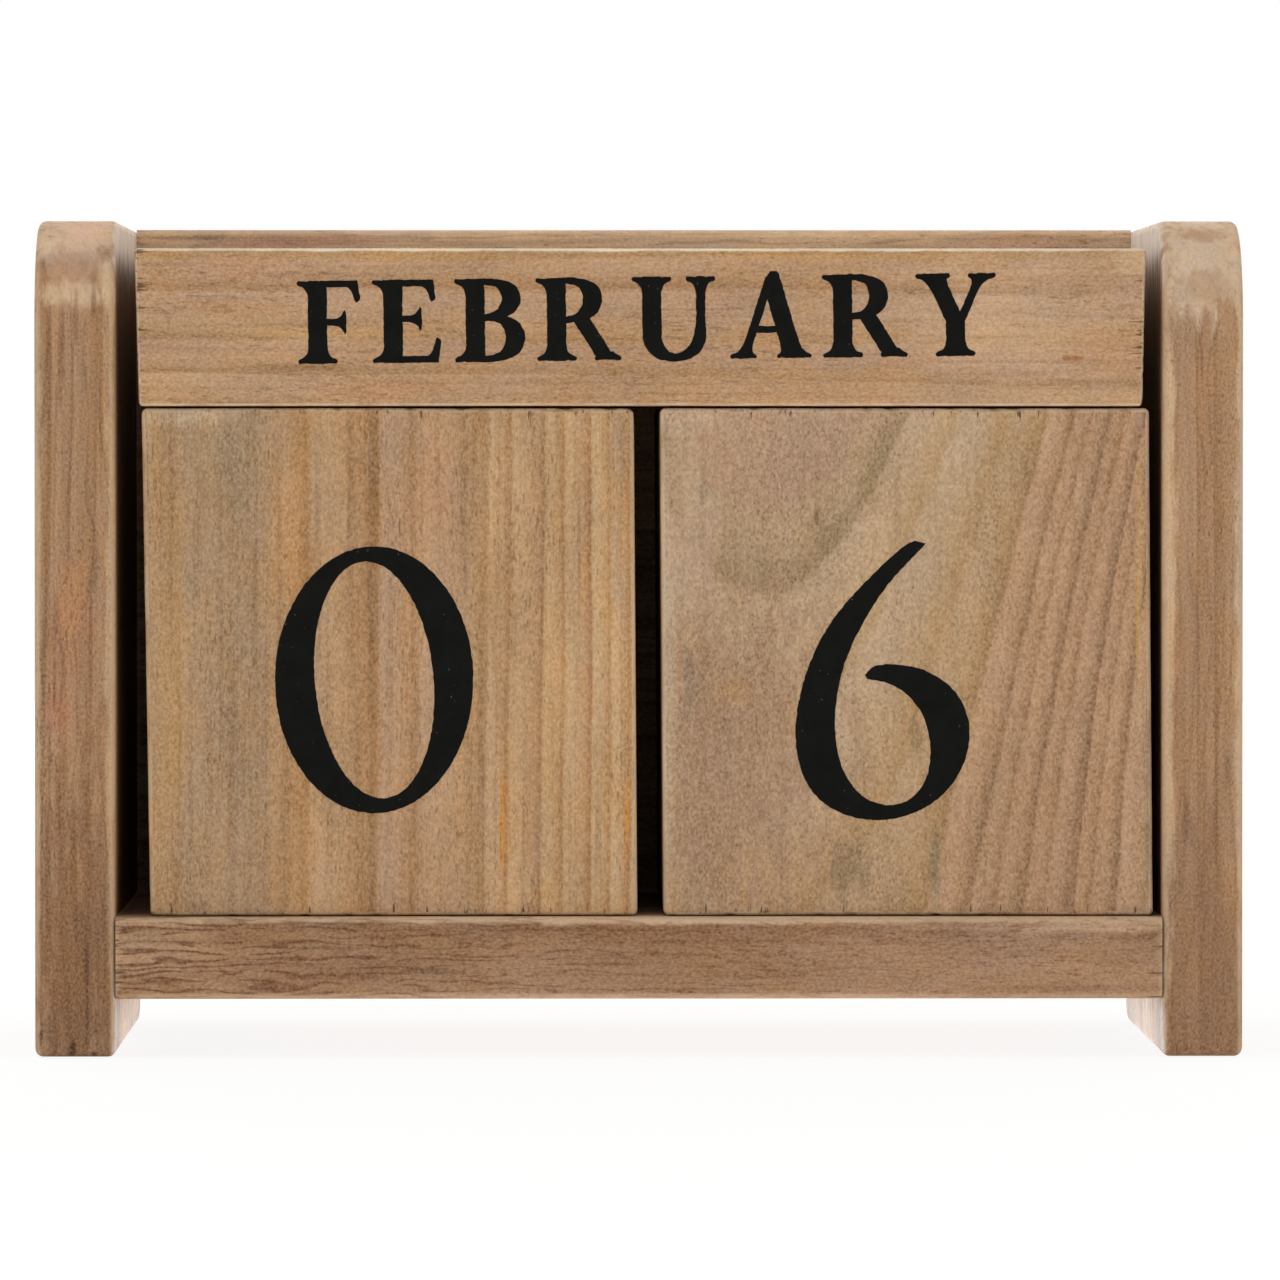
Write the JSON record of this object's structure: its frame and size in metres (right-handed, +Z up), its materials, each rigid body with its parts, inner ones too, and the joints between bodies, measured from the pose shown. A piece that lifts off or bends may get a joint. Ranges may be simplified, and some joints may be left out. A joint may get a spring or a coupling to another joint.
{
  "type": "perpetual desk calendar",
  "caption": "Wooden perpetual desk calendar: number cubes on a shelf and month bars over them, held in an open frame with uprights and a back board.",
  "frame": {"origin": "on the table, under the middle of the frame", "axes": "+X to the reader's right along the front, -Y towards the reader, +Z up"},
  "size_m": [0.15, 0.074, 0.104],
  "materials": {
    "frame_wood": "brushed and sanded, brown wash, matt",
    "cube_wood": "sanded, pale wash, matt",
    "bar_wood": "sanded, pale wash, matt, sawn ends",
    "dowel_wood": "plain, unfinished",
    "ink": "black printing ink, thin and matt"
  },
  "bodies": {
    "frame": {"left_upright": "frame_wood", "right_upright": "frame_wood", "shelf": "frame_wood", "back_board": "frame_wood", "shelf_dowels": "dowel_wood", "back_dowels": "dowel_wood"},
    "left_cube": {"left_number_cube": "cube_wood"},
    "right_cube": {"right_number_cube": "cube_wood"},
    "front_bar": {"front_month_bar": "bar_wood"},
    "middle_bar": {"middle_month_bar": "bar_wood"},
    "rear_bar": {"rear_month_bar": "bar_wood"}
  },
  "joints": [
    {"name": "left_cube_out", "type": "slide", "parent": "frame", "child": "left_cube", "axis": [0, -1, 0], "range_m": [0, 0.07]},
    {"name": "right_cube_out", "type": "slide", "parent": "frame", "child": "right_cube", "axis": [0, -1, 0], "range_m": [0, 0.07]},
    {"name": "front_bar_lift", "type": "slide", "parent": "frame", "child": "front_bar", "axis": [0, 0, 1], "range_m": [0, 0.03]},
    {"name": "middle_bar_lift", "type": "slide", "parent": "frame", "child": "middle_bar", "axis": [0, 0, 1], "range_m": [0, 0.03]},
    {"name": "rear_bar_lift", "type": "slide", "parent": "frame", "child": "rear_bar", "axis": [0, 0, 1], "range_m": [0, 0.03]}
  ]
}
